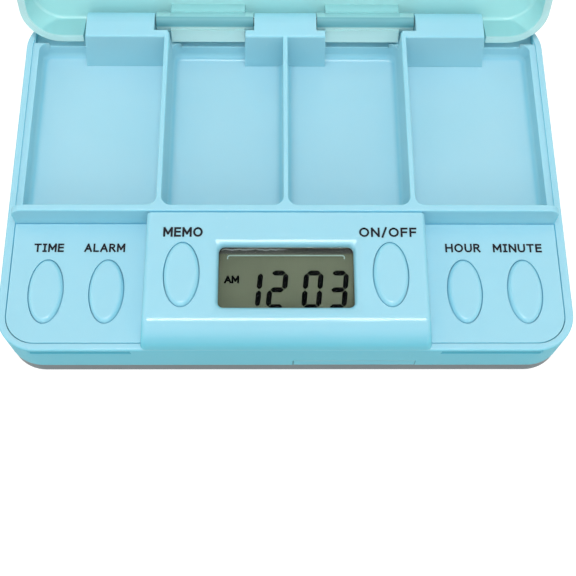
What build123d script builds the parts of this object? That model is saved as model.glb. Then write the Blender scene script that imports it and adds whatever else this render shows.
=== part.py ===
"""Four compartment pill box with a built in timer, each piece as its own solid.

Millimetres. The origin is the centre of the face that rests on the table,
X runs to the right, Y towards the hinge and Z up. The lid is modelled shut
and then swung open about its hinge, because it stands open at rest.
"""
import math
import os

from build123d import *

# Case in plan
CASE_WIDTH = 90.0
CASE_DEPTH = 62.0
CASE_CORNER = 6.3

# Case in height
BASE_THICKNESS = 2.8
SIDE_HEIGHT = 7.3
RAISED_HEIGHT = 4.5
FLOOR_RISE = 3.1
FLOOR_THICKNESS = 1.2

# Rim, walls and compartments of the tray
RIM_BAND = 1.1
RIM_STEP = 0.25
RIM_LEDGE = 1.1
RIM_ROUND = 0.4
BAY_WALL = 1.9
UNDERSIDE_WALL = 1.25
DIVIDER_THICKNESS = 0.8
DIVIDER_PITCH = 20.15
WELL_CORNER = 1.6
FLOOR_ROUND = 1.2
BAR_SETBACK = 21.65
BAR_THICKNESS = 1.1
BAR_END_ROUND = 2.0
RIDGE_ROUND = 0.2
REAR_LAND = 5.4
REAR_WALL = 1.2

# Hinge line, blocks, knuckles and pins
HINGE_SETBACK = 2.65
HINGE_DROP = 2.3
KNUCKLE_RADIUS = 1.6
KNUCKLE_START = 5.5
KNUCKLE_END = 22.2
PIN_RADIUS = 0.75
PIN_RUNNING_GAP = 0.05
PIN_PRESS_GAP = 0.01
PIN_SEAT = 2.0
BLOCK_REACH = 2.0
BLOCK_REAR = 2.15
BLOCK_ROUND = 4.0
BLOCK_EDGE_ROUND = 0.3
MIDDLE_BLOCK_TOP = 6.8
MIDDLE_BLOCK_FOOT = 7.1
OUTER_BLOCK_START = 20.0
BLOCK_SKIRT_GAP = 1.1
BLOCK_DRAFT = 1.3
KNUCKLE_SIDE_GAP = 0.2
KNUCKLE_FRONT_GAP = 1.85
SWEEP_GAP = 0.15

# Lid, as it lies when shut
LID_HEIGHT = 6.7
LID_WALL = 1.2
LID_PLATE = 1.5
LID_SEAT_GAP = 0.1
LID_ROUND = 1.6
LID_INNER_ROUND = 0.5
LID_OPEN_DEGREES = 107.0
NOTCH_SIDE_GAP = 0.6
NOTCH_REAR_GAP = 0.8
NOTCH_LIP_GAP = 0.15
NOTCH_CORNER = 1.0
SKIRT_START = 7.0
SKIRT_END = 19.7
SKIRT_THICK = 2.4
SKIRT_CORNER_INSET = 10.0
PLATE_REAR_CUT = 1.4
WEB_REACH = 1.5
LATCH_TAB_THICKNESS = 0.8
LATCH_TAB_DROP = 1.6
LATCH_TAB_RISE = 2.6
LATCH_GAP = 0.05
LATCH_INNER_SPACE = 1.7
LATCH_SIDE_SPACE = 5.2
LATCH_END_GAP = 0.3
LATCH_ROUND = 0.35
GROOVE_DROP = 0.5
GROOVE_HEIGHT = 1.4
GROOVE_DEPTH = 0.4

# Timer cover: two low wings and the raised middle panel
COVER_WALL = 1.2
COVER_SEAM = 0.12
COVER_SIDE_INSET = 1.35
COVER_FRONT_INSET = 1.1
COVER_CORNER = 4.8
WING_ROUND = 0.15
PANEL_DRAFT = 0.6
PANEL_SIDE_SPACE = 1.1
PANEL_FRONT_INSET = 0.05
PANEL_REAR_SEAM = 0.15
PANEL_SEAT_GAP = 0.05
PANEL_ROLL_SHARE = 0.93
PANEL_SIDE_ROUND = 0.8
PANEL_REAR_ROUND = 0.35

# Display window and its parts
WINDOW_HEIGHT = 10.25
WINDOW_CORNER = 0.9
WINDOW_ROUND = 0.55
WINDOW_SETBACK = 10.55
LENS_MARGIN = 0.8
LENS_GAP = 0.05
LENS_THICKNESS = 0.8
LENS_STEP_INSET = 0.08
LENS_STEP = 0.5
GLASS_MARGIN = 1.2
GLASS_THICKNESS = 1.6
GLASS_GAP = 0.15
REFLECTOR_THICKNESS = 0.2
HOLDER_WALL = 0.8
HOLDER_GAP = 0.1
HOLDER_SPACE = 0.125
HOLDER_SHELF = 2.9
STRIP_THICKNESS = 1.6
STRIP_GAP = 0.1
STRIP_END = 1.0

# Digits of the display, seven bars each, as shares of the window's size
DIGIT_HEIGHT_SHARE = 0.632
DIGIT_WIDTH_SHARE = 0.148
DIGIT_PITCH_SHARE = 0.188
DIGIT_COLON_SHARE = 0.073
DIGIT_FIRST_SHARE = -0.2545
DIGIT_TOP_SHARE = 0.332
DIGIT_STROKE_SHARE = 0.27
DIGIT_BREAK_SHARE = 0.082
DIGIT_THICKNESS = 0.05
DIGIT_LEAN_DEGREES = 5.35
DIGITS_SHOWN = "1203"
BARS_LIT = {"0": "abcdef", "1": "bc", "2": "abged", "3": "abgcd"}

# Buttons: an oval cap over a snap switch
CAP_WIDTH = 5.4
CAP_LENGTH = 10.65
CAP_GAP = 0.12
CAP_PROUD = 0.45
CAP_CROWN = 0.75
FLANGE_REACH = 0.7
FLANGE_THICKNESS = 0.6
FLANGE_GAP = 0.1
STEM_RADIUS = 1.3
PRESS_TRAVEL = 0.5
PRESS_SPARE = 0.1
PLUNGER_RADIUS = 1.0
PLUNGER_GAP = 0.05
PLUNGER_GRIP = 0.05
SWITCH_SIDE = 4.0
SWITCH_HEIGHT = 0.6
PANEL_BUTTON_SETBACK = 10.8
WING_SIDE_SPACE = 3.9
WING_INNER_SPACE = 2.4
WING_BUTTON_SPACE = 2.7
WING_BUTTON_SETBACK = 9.8

# Circuit board and what is soldered to it
BOARD_THICKNESS = 1.0
BOARD_GAP = 0.35
BOARD_REAR_GAP = 1.0
BOARD_HOLE_GAP = 0.3
BLOB_RADIUS = 3.4
BLOB_HEIGHT = 1.0
BLOB_ROUND = 0.8
BLOB_SIDE_INSET = 15.0
BLOB_SETBACK = 11.0
CRYSTAL_RADIUS = 1.0
CRYSTAL_LENGTH = 6.0
CRYSTAL_SIDE_INSET = 18.0
CRYSTAL_SETBACK = 5.0
CHIP_LENGTH = 2.0
CHIP_WIDTH = 1.2
CHIP_HEIGHT = 0.8
CHIP_SIDE_INSET = 20.0
CHIP_PITCH = 4.0
CHIP_COUNT = 3
CHIP_SETBACK = 6.0

# Battery drawer, cell and spring contacts
DRAWER_WIDTH = 19.3
DRAWER_HEIGHT = 1.9
DRAWER_CENTRE_X = 10.85
DRAWER_FRONT = 1.5
DRAWER_REAR = 1.2
DRAWER_FLOOR = 0.25
DRAWER_GAP = 0.1
DRAWER_LIP = 1.2
CELL_RADIUS = 8.0
CELL_THICKNESS = 1.6
CELL_ROUND = 0.3
CELL_GAP = 0.15
RAIL_WIDTH = 1.0
RAIL_HEIGHT = 1.7
CONTACT_WIDTH = 2.6
CONTACT_THICKNESS = 0.25
CONTACT_FOOT = 2.4
CONTACT_CLEAR = 0.12
CONTACT_SPACING = 9.0

# Buzzer
BUZZER_RADIUS = 6.5
BUZZER_THICKNESS = 0.4
BUZZER_X = -12.0
BUZZER_SETBACK = 11.5
BUZZER_PAD_HEIGHT = 0.8
BUZZER_PAD_WIDTH = 1.0
BUZZER_CONTACT_SPACING = 6.0
SOUND_HOLE_RADIUS = 0.6
SOUND_HOLE_CIRCLE = 2.4
SOUND_HOLE_COUNT = 5

# Base plate
BASE_INSET = 0.05
BASE_CHAMFER = 0.3
BASE_FLOOR = 1.2
BASE_POCKET_WALL = 3.2

# Screws and bosses
SCREW_HEAD_RADIUS = 1.6
SCREW_HEAD_HEIGHT = 0.9
SCREW_RADIUS = 0.85
SCREW_GAP = 0.02
SCREW_HOLE_GAP = 0.25
SCREW_SOCKET = 0.45
SCREW_SLOT = 0.35
SCREW_RECESS = 0.3
SCREW_HEAD_GAP = 0.2
BOSS_RADIUS = 2.0
CASE_SCREW_LENGTH = 5.0
REAR_SCREW_X = 27.5
FRONT_SCREW_SETBACK = 17.0
BOARD_SCREW_LENGTH = 4.0
BOARD_BOSS_RADIUS = 1.5
BOARD_SCREW_INSET = 3.4
BOARD_SCREW_FRONT = 3.7
BOARD_SCREW_REAR = 18.9

# One overrun for every cut
OVERRUN = 1.0

# Places worked out from the sizes above
half_width = CASE_WIDTH / 2
case_front = -CASE_DEPTH / 2
case_back = CASE_DEPTH / 2
rim_top = BASE_THICKNESS + SIDE_HEIGHT
deck_top = rim_top + RAISED_HEIGHT
floor_top = BASE_THICKNESS + FLOOR_RISE
ledge_top = rim_top - RIM_STEP
panel_roll = RAISED_HEIGHT * PANEL_ROLL_SHARE
outer_skirt_start = half_width - SKIRT_CORNER_INSET
outer_block_top = outer_skirt_start - BLOCK_SKIRT_GAP
outer_block_foot = outer_block_top + BLOCK_DRAFT
well_side = half_width - RIM_BAND - RIM_LEDGE
bar_front = case_front + BAR_SETBACK
bar_back = bar_front + BAR_THICKNESS
back_wall = case_back - REAR_LAND
block_front = back_wall - BLOCK_REACH
hinge_y = case_back - HINGE_SETBACK
hinge_z = deck_top - HINGE_DROP
lid_bottom = rim_top + LID_SEAT_GAP
lid_top = lid_bottom + LID_HEIGHT
plate_under = lid_top - LID_PLATE
sweep_radius = math.hypot(HINGE_SETBACK, hinge_z - lid_bottom)
channel_top = hinge_z - sweep_radius - SWEEP_GAP
channel_side = half_width - CASE_CORNER + math.sqrt(
    CASE_CORNER ** 2 - (hinge_y - case_back + CASE_CORNER + SWEEP_GAP) ** 2
) - SWEEP_GAP
wing_under = rim_top - COVER_WALL
panel_under = deck_top - COVER_WALL
plunger_proud = PRESS_TRAVEL + PRESS_SPARE
plunger_top = wing_under - FLANGE_GAP - FLANGE_THICKNESS
switch_top = plunger_top - plunger_proud
board_top = switch_top - SWITCH_HEIGHT
board_under = board_top - BOARD_THICKNESS
lens_top = panel_under - LENS_GAP
lens_under = lens_top - LENS_THICKNESS
glass_top = lens_under - GLASS_GAP
glass_under = glass_top - GLASS_THICKNESS
reflector_under = glass_under - REFLECTOR_THICKNESS
window_y = case_front + WINDOW_SETBACK
wing_button_y = case_front + WING_BUTTON_SETBACK
panel_button_y = case_front + PANEL_BUTTON_SETBACK
drawer_under = BASE_THICKNESS + DRAWER_GAP
drawer_top = drawer_under + DRAWER_HEIGHT
well_radius = CELL_RADIUS + CELL_GAP
cell_y = case_front + DRAWER_FRONT + well_radius
drawer_back = cell_y + well_radius + DRAWER_REAR
cell_under = drawer_under + DRAWER_FLOOR
cell_top = cell_under + CELL_THICKNESS
contact_tip = max(cell_top, drawer_top) + CONTACT_CLEAR
screw_seat = SCREW_HEAD_HEIGHT + SCREW_RECESS
buzzer_y = case_front + BUZZER_SETBACK
buzzer_under = BASE_THICKNESS + BUZZER_PAD_HEIGHT
buzzer_top = buzzer_under + BUZZER_THICKNESS
front_screw_y = case_front + FRONT_SCREW_SETBACK
rear_screw_y = (back_wall + case_back) / 2
flange_half = CAP_WIDTH / 2 + FLANGE_REACH
outer_button_x = half_width - WING_SIDE_SPACE - flange_half
inner_button_x = outer_button_x - WING_BUTTON_SPACE - 2 * flange_half
panel_half_foot = inner_button_x - flange_half - WING_INNER_SPACE
panel_half_top = panel_half_foot - PANEL_DRAFT
panel_button_x = panel_half_top - COVER_WALL - PANEL_SIDE_SPACE - flange_half
holder_half = panel_button_x - flange_half - HOLDER_SPACE
window_width = 2 * (holder_half - HOLDER_WALL - HOLDER_GAP - GLASS_MARGIN)
front_screw_x = (inner_button_x + outer_button_x) / 2
board_screw_x = panel_half_top - BOARD_SCREW_INSET
latch_start = panel_half_foot + LATCH_INNER_SPACE
latch_end = half_width - LATCH_SIDE_SPACE
digit_width = window_width * DIGIT_WIDTH_SHARE
digit_height = WINDOW_HEIGHT * DIGIT_HEIGHT_SHARE
digit_stroke = digit_width * DIGIT_STROKE_SHARE
blob_x = BLOB_SIDE_INSET - half_width
crystal_x = CRYSTAL_SIDE_INSET - half_width
chip_x = half_width - CHIP_SIDE_INSET
divider_places = (-DIVIDER_PITCH, 0, DIVIDER_PITCH)
sides = (-1, 1)

case_screw_places = [(side * REAR_SCREW_X, rear_screw_y) for side in sides]
case_screw_places += [(side * front_screw_x, front_screw_y) for side in sides]
board_screw_places = [
    (side * board_screw_x, case_front + setback)
    for side in sides
    for setback in (BOARD_SCREW_FRONT, BOARD_SCREW_REAR)
]

# Button name, centre in plan, and the level of the surface round it
buttons = {
    "time": (-outer_button_x, wing_button_y, rim_top),
    "alarm": (-inner_button_x, wing_button_y, rim_top),
    "memo": (-panel_button_x, panel_button_y, deck_top),
    "on_off": (panel_button_x, panel_button_y, deck_top),
    "hour": (inner_button_x, wing_button_y, rim_top),
    "minute": (outer_button_x, wing_button_y, rim_top),
}


def brick(x_span, y_span, z_span):
    """A plain block between three pairs of limits."""
    spans = (x_span, y_span, z_span)
    low = [min(span) for span in spans]
    size = [max(span) - min(span) for span in spans]
    return Pos(*low) * Box(*size, align=(Align.MIN, Align.MIN, Align.MIN))


def slab(outline, low, high):
    """A flat outline raised from one level to another."""
    return extrude(Pos(0, 0, low) * outline, amount=high - low, dir=(0, 0, 1))


def rod(x, y, radius, low, high):
    """An upright cylinder."""
    return slab(Pos(x, y) * Circle(radius), low, high)


def cross_rod(y, z, radius, left, right):
    """A cylinder along X."""
    outline = Plane.YZ * (Pos(y, z) * Circle(radius))
    return Pos(left, 0, 0) * extrude(outline, amount=right - left, dir=(1, 0, 0))


def case_outline(inset):
    """The case's rounded rectangle, drawn in by an even inset."""
    return RectangleRounded(
        CASE_WIDTH - 2 * inset, CASE_DEPTH - 2 * inset, CASE_CORNER - inset
    )


def front_outline(side, front, back, corner):
    """A rectangle whose two front corners are round."""
    outline = Pos(0, (front + back) / 2) * Rectangle(2 * side, back - front)
    return fillet(outline.vertices().sort_by(Axis.Y)[:2], corner)


def side_profile(points, left, right):
    """A polygon drawn in the Y and Z directions, carried from left to right."""
    outline = Plane.YZ * Polygon(*points, align=None)
    return Pos(left, 0, 0) * extrude(outline, amount=right - left, dir=(1, 0, 0))


def front_profile(points, front, back):
    """A polygon drawn in the X and Z directions, carried from front to back."""
    outline = Plane.XZ * Polygon(*points, align=None)
    return Pos(0, front, 0) * extrude(outline, amount=back - front, dir=(0, 1, 0))


def swing(shape, degrees):
    """Turns a shape about the hinge line."""
    return Pos(0, hinge_y, hinge_z) * Rot(X=degrees) * Pos(0, -hinge_y, -hinge_z) * shape


def make_well(left, right):
    """The hollow of one compartment, with round corners and a round floor edge."""
    hollow = brick((left, right), (bar_back, back_wall), (floor_top, deck_top + OVERRUN))
    hollow = fillet(hollow.edges().filter_by(Axis.Z), WELL_CORNER)
    return fillet(hollow.edges().group_by(Axis.Z)[0], FLOOR_ROUND)


def well_spans():
    """Left and right limit of each compartment."""
    edges = [-well_side]
    for place in divider_places:
        edges += [place - DIVIDER_THICKNESS / 2, place + DIVIDER_THICKNESS / 2]
    edges.append(well_side)
    return [(edges[i], edges[i + 1]) for i in range(0, len(edges), 2)]


def make_ridges():
    """The bar in front of the compartments and the dividers, up to deck level."""
    bar_side = half_width - COVER_SIDE_INSET
    outline = Pos(0, (bar_front + bar_back) / 2) * Rectangle(2 * bar_side, BAR_THICKNESS)
    ridge_back = block_front + BLOCK_REACH / 2
    for place in divider_places:
        run = Rectangle(DIVIDER_THICKNESS, ridge_back - bar_front)
        outline += Pos(place, (ridge_back + bar_front) / 2) * run
    corners = [
        vertex
        for vertex in outline.vertices()
        if abs(vertex.Y - bar_back) < BAR_THICKNESS / 2
        and abs(vertex.X) < bar_side - BAR_THICKNESS
    ]
    outline = fillet(corners, WELL_CORNER)
    ridges = slab(outline, ledge_top, deck_top)
    ends = [
        edge
        for edge in ridges.edges().group_by(Axis.Z)[-1].filter_by(Axis.Y)
        if abs(edge.center().X) > bar_side - BAR_THICKNESS
    ]
    ridges = fillet(ends, BAR_END_ROUND)
    crests = ridges.edges().group_by(Axis.Z)[-1]
    return fillet(crests, RIDGE_ROUND)


def make_blocks():
    """Three hinge blocks on the back wall, open behind for the lid's knuckles."""
    block_back = hinge_y + BLOCK_REAR
    foot = floor_top - FLOOR_THICKNESS / 2
    middle = front_profile(
        [
            (-MIDDLE_BLOCK_FOOT, foot),
            (MIDDLE_BLOCK_FOOT, foot),
            (MIDDLE_BLOCK_TOP, deck_top),
            (-MIDDLE_BLOCK_TOP, deck_top),
        ],
        block_front,
        block_back,
    )
    outer = front_profile(
        [
            (OUTER_BLOCK_START, foot),
            (outer_block_foot, foot),
            (outer_block_top, deck_top),
            (OUTER_BLOCK_START, deck_top),
        ],
        block_front,
        block_back,
    )
    outer = fillet(outer.edges().group_by(Axis.Z)[-1].sort_by(Axis.Y)[-1], BLOCK_ROUND)
    middle = fillet(middle.edges().group_by(Axis.Z)[-1].sort_by(Axis.Y)[-1], BLOCK_ROUND)
    outer = fillet(outer.edges().group_by(Axis.Z)[-1].sort_by(Axis.Y)[0], BLOCK_EDGE_ROUND)
    middle = fillet(middle.edges().group_by(Axis.Z)[-1].sort_by(Axis.Y)[0], BLOCK_EDGE_ROUND)
    blocks = [middle, outer, mirror(outer, Plane.YZ)]
    recess_front = hinge_y - KNUCKLE_RADIUS - KNUCKLE_FRONT_GAP
    trimmed = []
    for block in blocks:
        for side in sides:
            recess = brick(
                (side * (KNUCKLE_START - KNUCKLE_SIDE_GAP), side * (KNUCKLE_END + KNUCKLE_SIDE_GAP)),
                (recess_front, case_back + OVERRUN),
                (channel_top, deck_top + OVERRUN),
            )
            block = block - recess
            hole = cross_rod(
                hinge_y,
                hinge_z,
                PIN_RADIUS + PIN_PRESS_GAP,
                min(side * (KNUCKLE_START - KNUCKLE_SIDE_GAP - PIN_SEAT), side * half_width),
                max(side * (KNUCKLE_START - KNUCKLE_SIDE_GAP - PIN_SEAT), side * half_width),
            )
            block = block - hole
        trimmed.append(block)
    return trimmed


def make_tray():
    """Blue case body: compartments behind, an open bay for the timer in front."""
    body = slab(case_outline(0), BASE_THICKNESS, rim_top)
    body = fillet(body.edges().group_by(Axis.Z)[-1], RIM_ROUND)

    # Inner step and ledge round the compartments
    above_rim = rim_top + OVERRUN
    step_front = bar_front + BAR_THICKNESS / 2
    behind_bar = brick((-half_width, half_width), (step_front, case_back), (ledge_top, above_rim))
    body -= slab(case_outline(RIM_BAND), ledge_top, above_rim) & behind_bar

    # Channel under the lid's back skirt, open behind, whose floor stops the open lid
    channel = (-channel_side, channel_side)
    body -= brick(channel, (back_wall, case_back + OVERRUN), (channel_top, above_rim))

    # Compartments, then the bar and dividers that stand on their walls
    for left, right in well_spans():
        body -= make_well(left, right)
    body += make_ridges()

    # Hollow underside
    under_side = half_width - UNDERSIDE_WALL
    under = brick(
        (-under_side, under_side),
        (bar_back, back_wall),
        (BASE_THICKNESS - OVERRUN, floor_top - FLOOR_THICKNESS),
    )
    body -= under
    rear_side = half_width - CASE_CORNER
    body -= brick(
        (-rear_side, rear_side),
        (back_wall + REAR_WALL, case_back - REAR_WALL),
        (BASE_THICKNESS - OVERRUN, channel_top - REAR_WALL),
    )
    for side in sides:
        x = side * REAR_SCREW_X
        body += rod(x, rear_screw_y, BOSS_RADIUS, BASE_THICKNESS, channel_top - REAR_WALL / 2)

    # Bay for the timer
    bay_corner = COVER_CORNER - (BAY_WALL - COVER_FRONT_INSET)
    body -= slab(
        front_outline(half_width - BAY_WALL, case_front + BAY_WALL, bar_front, bay_corner),
        BASE_THICKNESS - OVERRUN,
        rim_top + OVERRUN,
    )
    body -= slab(
        front_outline(
            half_width - COVER_SIDE_INSET, case_front + COVER_FRONT_INSET, bar_front, COVER_CORNER
        ),
        wing_under,
        rim_top + OVERRUN,
    )

    for block in make_blocks():
        body += block

    # Pilot holes of the rear screws
    pilot = BASE_THICKNESS + CASE_SCREW_LENGTH + SCREW_HOLE_GAP
    for side in sides:
        x = side * REAR_SCREW_X
        body -= rod(x, rear_screw_y, SCREW_RADIUS + SCREW_GAP, BASE_THICKNESS - OVERRUN, pilot)

    # Slot of the battery drawer
    slot_side = DRAWER_WIDTH / 2 + DRAWER_GAP
    body -= brick(
        (DRAWER_CENTRE_X - slot_side, DRAWER_CENTRE_X + slot_side),
        (case_front - OVERRUN, case_front + BAY_WALL + OVERRUN),
        (BASE_THICKNESS - OVERRUN, drawer_top + DRAWER_GAP),
    )

    # Two latch grooves in the front wall: level above, sloping below
    groove_top = rim_top - GROOVE_DROP
    groove = side_profile(
        [
            (case_front - OVERRUN, groove_top),
            (case_front + GROOVE_DEPTH, groove_top),
            (case_front, groove_top - GROOVE_HEIGHT),
            (case_front - OVERRUN, groove_top - GROOVE_HEIGHT),
        ],
        latch_start,
        latch_end,
    )
    body -= groove
    body -= mirror(groove, Plane.YZ)
    return body


def make_base_plate():
    """Grey bottom plate with the drawer's rails, buzzer pad and screw holes."""
    plate = slab(case_outline(BASE_INSET), 0, BASE_THICKNESS)
    plate = chamfer(plate.edges().group_by(Axis.Z)[0], BASE_CHAMFER)
    pocket = slab(case_outline(BASE_POCKET_WALL), BASE_FLOOR, BASE_THICKNESS + OVERRUN)
    pocket &= brick(
        (-half_width, half_width), (bar_back, case_back), (BASE_FLOOR, BASE_THICKNESS + OVERRUN)
    )
    plate -= pocket
    for side in sides:
        x = side * REAR_SCREW_X
        plate += rod(x, rear_screw_y, BOSS_RADIUS + SCREW_HEAD_GAP, BASE_FLOOR, BASE_THICKNESS)
        inner = DRAWER_CENTRE_X + side * (DRAWER_WIDTH / 2 + DRAWER_GAP)
        plate += brick(
            (inner, inner + side * RAIL_WIDTH),
            (case_front + BAY_WALL + COVER_SEAM, drawer_back + DRAWER_GAP),
            (BASE_THICKNESS, BASE_THICKNESS + RAIL_HEIGHT),
        )
    plate += brick(
        (DRAWER_CENTRE_X - DRAWER_WIDTH / 2, DRAWER_CENTRE_X + DRAWER_WIDTH / 2),
        (drawer_back + DRAWER_GAP, drawer_back + DRAWER_GAP + RAIL_WIDTH),
        (BASE_THICKNESS, BASE_THICKNESS + RAIL_HEIGHT),
    )

    pad = rod(BUZZER_X, buzzer_y, BUZZER_RADIUS, BASE_THICKNESS, buzzer_under)
    pad -= rod(
        BUZZER_X, buzzer_y, BUZZER_RADIUS - BUZZER_PAD_WIDTH, BASE_THICKNESS, buzzer_under + OVERRUN
    )
    plate += pad
    for i in range(SOUND_HOLE_COUNT):
        turn = 2 * math.pi * i / SOUND_HOLE_COUNT
        plate -= rod(
            BUZZER_X + SOUND_HOLE_CIRCLE * math.cos(turn),
            buzzer_y + SOUND_HOLE_CIRCLE * math.sin(turn),
            SOUND_HOLE_RADIUS,
            -OVERRUN,
            BASE_THICKNESS + OVERRUN,
        )

    for x, y in case_screw_places:
        plate -= rod(x, y, SCREW_RADIUS + SCREW_HOLE_GAP, -OVERRUN, BASE_THICKNESS + OVERRUN)
        plate -= rod(x, y, SCREW_HEAD_RADIUS + SCREW_HEAD_GAP, -OVERRUN, screw_seat)
    return plate


def panel_prism(half_top, half_foot, front, back, top, foot, roll):
    """The raised panel's body: drafted sides, and a front that rolls down."""
    prism = front_profile(
        [(-half_foot, foot), (half_foot, foot), (half_top, top), (-half_top, top)], front, back
    )
    return fillet(prism.edges().group_by(Axis.Z)[-1].sort_by(Axis.Y)[0], roll)


def make_timer_cover():
    """One moulding: low wings left and right, and the raised panel between them."""
    back = bar_front - PANEL_REAR_SEAM
    wing_front = case_front + COVER_FRONT_INSET + COVER_SEAM
    wings = slab(
        front_outline(
            half_width - COVER_SIDE_INSET - COVER_SEAM,
            wing_front,
            back,
            COVER_CORNER - COVER_SEAM,
        ),
        wing_under,
        rim_top,
    )
    wings = fillet(wings.edges().group_by(Axis.Z)[-1], WING_ROUND)
    panel_front = case_front + PANEL_FRONT_INSET
    slope = (panel_half_foot - panel_half_top) / RAISED_HEIGHT
    panel = panel_prism(
        panel_half_top, panel_half_foot, panel_front, back, deck_top, rim_top, panel_roll
    )
    panel = fillet(panel.edges().group_by(Axis.Z)[-1].filter_by(Axis.Y), PANEL_SIDE_ROUND)
    rear_edge = panel.edges().group_by(Axis.Z)[-1].filter_by(Axis.X).sort_by(Axis.Y)[-1]
    panel = fillet(rear_edge, PANEL_REAR_ROUND)
    panel -= brick(
        (-half_width, half_width),
        (panel_front, wing_front),
        (rim_top, rim_top + PANEL_SEAT_GAP),
    )
    cover = wings + panel

    # Inside of the raised panel
    hollow = panel_prism(
        panel_half_top - COVER_WALL,
        panel_half_foot - COVER_WALL + slope * COVER_WALL,
        panel_front + COVER_WALL,
        back - COVER_WALL,
        panel_under,
        wing_under - OVERRUN,
        panel_roll - COVER_WALL,
    )
    front_foot = brick(
        (-half_width, half_width), (case_front, wing_front + COVER_WALL), (0, rim_top + COVER_WALL)
    )
    cover -= hollow - front_foot

    # Window opening with a rounded border
    window = Pos(0, window_y) * RectangleRounded(window_width, WINDOW_HEIGHT, WINDOW_CORNER)
    cover -= slab(window, panel_under - OVERRUN, deck_top + OVERRUN)
    low = deck_top - COVER_SEAM
    border = [
        edge
        for edge in cover.edges().filter_by_position(Axis.Z, low, deck_top + COVER_SEAM)
        if abs(edge.center().X) <= window_width / 2 + COVER_SEAM
        and abs(edge.center().Y - window_y) <= WINDOW_HEIGHT / 2 + COVER_SEAM
    ]
    cover = fillet(border, WINDOW_ROUND)

    # Button openings
    for x, y, level in buttons.values():
        opening = Pos(x, y) * Ellipse(CAP_WIDTH / 2 + CAP_GAP, CAP_LENGTH / 2 + CAP_GAP)
        cover -= slab(opening, level - COVER_WALL - OVERRUN, level + OVERRUN)

    # Bosses: two down to the base plate, four down to the board
    for side in sides:
        x = side * front_screw_x
        cover += rod(x, front_screw_y, BOSS_RADIUS, BASE_THICKNESS, rim_top - COVER_WALL / 2)
        pilot = BASE_THICKNESS + CASE_SCREW_LENGTH + SCREW_HOLE_GAP
        cover -= rod(x, front_screw_y, SCREW_RADIUS + SCREW_GAP, BASE_THICKNESS - OVERRUN, pilot)
    for x, y in board_screw_places:
        cover += rod(x, y, BOARD_BOSS_RADIUS, board_top, deck_top - COVER_WALL)
        pilot = board_top + BOARD_SCREW_LENGTH
        cover -= rod(x, y, SCREW_RADIUS + SCREW_GAP, board_top - OVERRUN, pilot)
    return cover


def make_window_lens():
    """Clear plate behind the window, with a raised middle that fills the opening."""
    plate = Pos(0, window_y) * Rectangle(
        window_width + 2 * LENS_MARGIN, WINDOW_HEIGHT + 2 * LENS_MARGIN
    )
    lens = slab(plate, lens_under, lens_top)
    step = Pos(0, window_y) * RectangleRounded(
        window_width - 2 * LENS_STEP_INSET, WINDOW_HEIGHT - 2 * LENS_STEP_INSET, WINDOW_CORNER
    )
    return lens + slab(step, lens_top, lens_top + LENS_GAP + LENS_STEP)


def glass_outline(extra):
    """The display glass in plan, grown by a margin."""
    width = window_width + 2 * GLASS_MARGIN + 2 * extra
    height = WINDOW_HEIGHT + 2 * GLASS_MARGIN + 2 * extra
    return Pos(0, window_y) * Rectangle(width, height)


def strip_y(side):
    """Centre line of one contact strip."""
    reach = WINDOW_HEIGHT / 2 + GLASS_MARGIN - STRIP_THICKNESS / 2 - STRIP_GAP
    return window_y + side * reach


def make_contact_strips():
    """Two rubber contact strips between the board and the display glass."""
    half = window_width / 2 + GLASS_MARGIN - STRIP_END
    return [
        brick(
            (-half, half),
            (strip_y(side) - STRIP_THICKNESS / 2, strip_y(side) + STRIP_THICKNESS / 2),
            (board_top, reflector_under),
        )
        for side in sides
    ]


def make_display_holder():
    """Frame that carries the display glass and keeps the contact strips upright."""
    holder = slab(glass_outline(HOLDER_GAP + HOLDER_WALL), board_top, lens_under)
    holder -= slab(glass_outline(HOLDER_GAP), reflector_under, lens_under + OVERRUN)
    holder -= slab(glass_outline(-HOLDER_SHELF), board_top - OVERRUN, lens_under)
    half = window_width / 2 + GLASS_MARGIN - STRIP_END + STRIP_GAP
    reach = STRIP_THICKNESS / 2 + STRIP_GAP
    for side in sides:
        holder -= brick(
            (-half, half),
            (strip_y(side) - reach, strip_y(side) + reach),
            (board_top - OVERRUN, lens_under),
        )
    return holder


def bar_shapes():
    """Outline of each bar of one upright digit, about the digit's centre."""
    half = digit_stroke / 2
    right = digit_width / 2 - half
    top = digit_height / 2 - half
    cut = digit_stroke * DIGIT_BREAK_SHARE

    def level(y):
        return [
            (-right + cut, y),
            (-right + half + cut, y + half),
            (right - half - cut, y + half),
            (right - cut, y),
            (right - half - cut, y - half),
            (-right + half + cut, y - half),
        ]

    def upright(x, low, high):
        return [
            (x, high - cut),
            (x + half, high - half - cut),
            (x + half, low + half + cut),
            (x, low + cut),
            (x - half, low + half + cut),
            (x - half, high - half - cut),
        ]

    return {
        "a": level(top),
        "b": upright(right, 0, top),
        "c": upright(right, -top, 0),
        "d": level(-top),
        "e": upright(-right, -top, 0),
        "f": upright(-right, 0, top),
        "g": level(0),
    }


def make_display_digits():
    """The dark bars of the four digits, lying on the display glass."""
    lean = math.tan(math.radians(DIGIT_LEAN_DEGREES))
    top = window_y + WINDOW_HEIGHT / 2 - WINDOW_HEIGHT * DIGIT_TOP_SHARE
    centre_y = top - digit_height / 2
    shapes = bar_shapes()
    solids = []
    for place, digit in enumerate(DIGITS_SHOWN):
        centre_x = window_width * (DIGIT_FIRST_SHARE + place * DIGIT_PITCH_SHARE)
        if place * 2 >= len(DIGITS_SHOWN):
            centre_x += window_width * DIGIT_COLON_SHARE
        for bar in BARS_LIT[digit]:
            points = [(centre_x + x + lean * y, centre_y + y) for x, y in shapes[bar]]
            solids.append(slab(Polygon(*points, align=None), glass_top, glass_top + DIGIT_THICKNESS))
    return solids


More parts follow.
